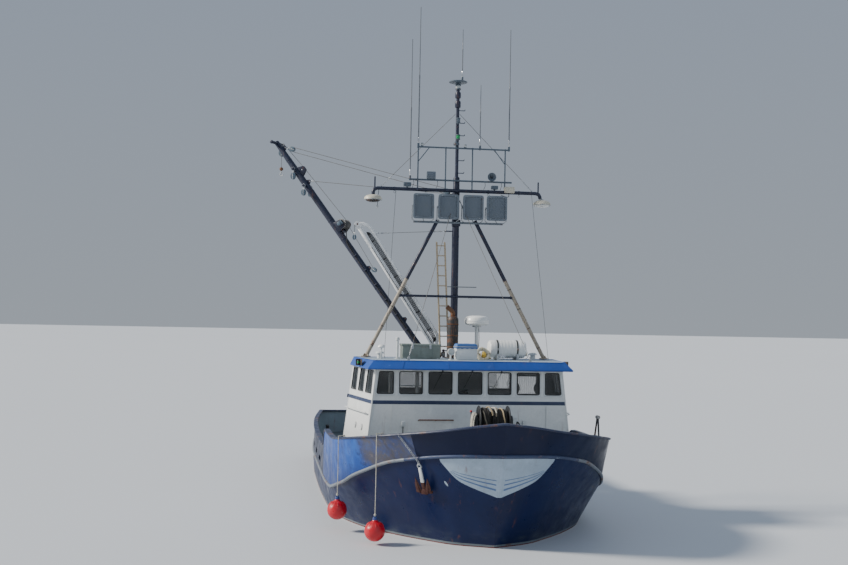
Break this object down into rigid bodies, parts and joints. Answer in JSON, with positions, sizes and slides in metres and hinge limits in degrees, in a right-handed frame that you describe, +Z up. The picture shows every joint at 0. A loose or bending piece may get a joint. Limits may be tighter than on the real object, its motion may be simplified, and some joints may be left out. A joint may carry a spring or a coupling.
{
  "type": "fishing trawler",
  "caption": "Steel combination fishing trawler afloat, raised bow, forward wheelhouse, tripod mast, swinging boom, deck winch and net reel.",
  "frame": {"origin": "on the waterline plane, on the centreline, amidships", "axes": "+Z up, the bow points to -Y, port is +X and starboard is -X"},
  "size_m": [8.4568, 17.756, 15.73],
  "materials": {
    "hull_paint": "worn navy blue marine paint, royal blue where the sun has chalked it",
    "dark_trim": "worn dark navy paint",
    "guard_steel": "scuffed pale grey blue paint over steel",
    "house_white": "semi gloss white marine paint with a dark blue stripe",
    "glass": "dark tinted window glass",
    "visor_blue": "satin royal blue paint",
    "wood_brown": "varnished plywood",
    "black_vinyl": "black vinyl",
    "deck_grey": "matt non-slip deck paint",
    "mast_blue": "navy paint with rust runs",
    "lamp_cream": "cream painted lamp housing",
    "lamp_grey": "grey cast lamp housings",
    "rack_grey": "grey painted pipe and white aerials",
    "white_plastic": "white glass fibre",
    "worn_alloy": "weathered aluminium",
    "black_steel": "black paint with rust",
    "locker_grey": "faded grey green paint",
    "box_white": "white box with a faded blue cover",
    "bare_steel": "galvanised steel with grease and rust",
    "rusty_steel": "rusty galvanised steel",
    "winch_grey": "blue grey machinery paint",
    "net_green": "green painted reel with a wound net",
    "buoy_red": "red inflated vinyl",
    "bronze": "bronze, dulled in the water"
  },
  "bodies": {
    "root": {"hull": "hull_paint", "bulwark_bow": "hull_paint", "bulwark_stbd": "hull_paint", "bulwark_port": "hull_paint", "bulwark_stern": "hull_paint", "rail_cap_bow": "dark_trim", "rail_cap_aft": "dark_trim", "rub_guard": "guard_steel", "wheelhouse_front": "house_white", "wheelhouse_side_stbd": "house_white", "wheelhouse_side_port": "house_white", "wheelhouse_back": "house_white", "wheelhouse_glass_front": "glass", "wheelhouse_glass_stbd": "glass", "wheelhouse_glass_port": "glass", "wheelhouse_glass_back": "glass", "wheelhouse_roof": "visor_blue", "helm_console": "wood_brown", "pilot_chair": "black_vinyl", "galley_side_stbd": "house_white", "galley_side_port": "house_white", "galley_back": "house_white", "galley_roof": "deck_grey", "mast": "mast_blue", "mast_leg_stbd": "mast_blue", "mast_leg_port": "mast_blue", "mast_brace": "mast_blue", "mast_crossarm": "mast_blue", "deck_lamp_stbd": "lamp_cream", "deck_lamp_port": "lamp_cream", "floodlight_bank": "lamp_grey", "antenna_rack": "rack_grey", "radar_dome": "white_plastic", "mast_ladder": "worn_alloy", "exhaust_stack": "black_steel", "life_raft": "white_plastic", "roof_locker": "locker_grey", "roof_box": "box_white", "anchor_winch_frame": "black_steel", "deck_winch_frame": "winch_grey", "net_reel_frame": "winch_grey", "hatch_coaming": "deck_grey", "bow_bitt": "black_steel", "anchor": "rusty_steel", "port_davit": "black_steel", "fender_fwd": "buoy_red", "fender_aft": "buoy_red"},
    "wheelhouse_door": {"wheelhouse_door": "house_white"},
    "galley_door": {"galley_door": "house_white"},
    "hatch_cover": {"hatch_cover": "worn_alloy"},
    "main_gooseneck": {"main_boom_gooseneck": "bare_steel"},
    "main_boom": {"main_boom": "mast_blue"},
    "picking_gooseneck": {"picking_boom_gooseneck": "bare_steel"},
    "picking_boom": {"picking_boom": "worn_alloy"},
    "anchor_winch_drum": {"anchor_winch_drum": "rusty_steel"},
    "deck_winch_drum": {"deck_winch_drum": "bare_steel"},
    "net_reel_drum": {"net_reel_drum": "net_green"},
    "propeller": {"propeller": "bronze"},
    "rudder": {"rudder": "hull_paint"}
  },
  "joints": [
    {"name": "wheelhouse_door_hinge", "type": "hinge", "parent": "root", "child": "wheelhouse_door", "pos_m": [2.7657, -3.23, 2.2], "axis": [0.1157, 0, -0.9933], "range_deg": [0, 95]},
    {"name": "galley_door_hinge", "type": "hinge", "parent": "root", "child": "galley_door", "pos_m": [-1.35, 0.354, 1.855], "axis": [0, 0, 1], "range_deg": [0, 110]},
    {"name": "hatch_cover_hinge", "type": "hinge", "parent": "root", "child": "hatch_cover", "pos_m": [0, 2.85, 1.333], "axis": [1, 0, 0], "range_deg": [0, 95]},
    {"name": "main_boom_swing", "type": "hinge", "parent": "root", "child": "main_gooseneck", "pos_m": [0, -2, 3.25], "axis": [0, 0, 1], "range_deg": [-140, 10]},
    {"name": "main_boom_lift", "type": "hinge", "parent": "main_gooseneck", "child": "main_boom", "pos_m": [-0.1732, -1.9, 3.25], "axis": [0.5, 0.866, 0], "range_deg": [-46, 23]},
    {"name": "picking_boom_swing", "type": "hinge", "parent": "root", "child": "picking_gooseneck", "pos_m": [-0.27, -2.17, 4.05], "axis": [0, 0, 1], "range_deg": [-30, 5]},
    {"name": "picking_boom_lift", "type": "hinge", "parent": "picking_gooseneck", "child": "picking_boom", "pos_m": [-0.39992, -2.16546, 4.05], "axis": [0.0349, 0.9994, 0], "range_deg": [-35, 15]},
    {"name": "anchor_winch_spin", "type": "hinge", "parent": "root", "child": "anchor_winch_drum", "pos_m": [0, -7.5, 2.79], "axis": [1, 0, 0], "continuous": true},
    {"name": "deck_winch_spin", "type": "hinge", "parent": "root", "child": "deck_winch_drum", "pos_m": [0, 1.7, 1.37], "axis": [1, 0, 0], "continuous": true},
    {"name": "net_reel_spin", "type": "hinge", "parent": "root", "child": "net_reel_drum", "pos_m": [0, 6.35, 1.72], "axis": [1, 0, 0], "continuous": true},
    {"name": "propeller_spin", "type": "hinge", "parent": "root", "child": "propeller", "pos_m": [0, 6.1, -1.53], "axis": [0, 1, 0], "continuous": true},
    {"name": "rudder_turn", "type": "hinge", "parent": "root", "child": "rudder", "pos_m": [0, 7.2, -1.5], "axis": [0, 0, 1], "range_deg": [-35, 35]}
  ]
}
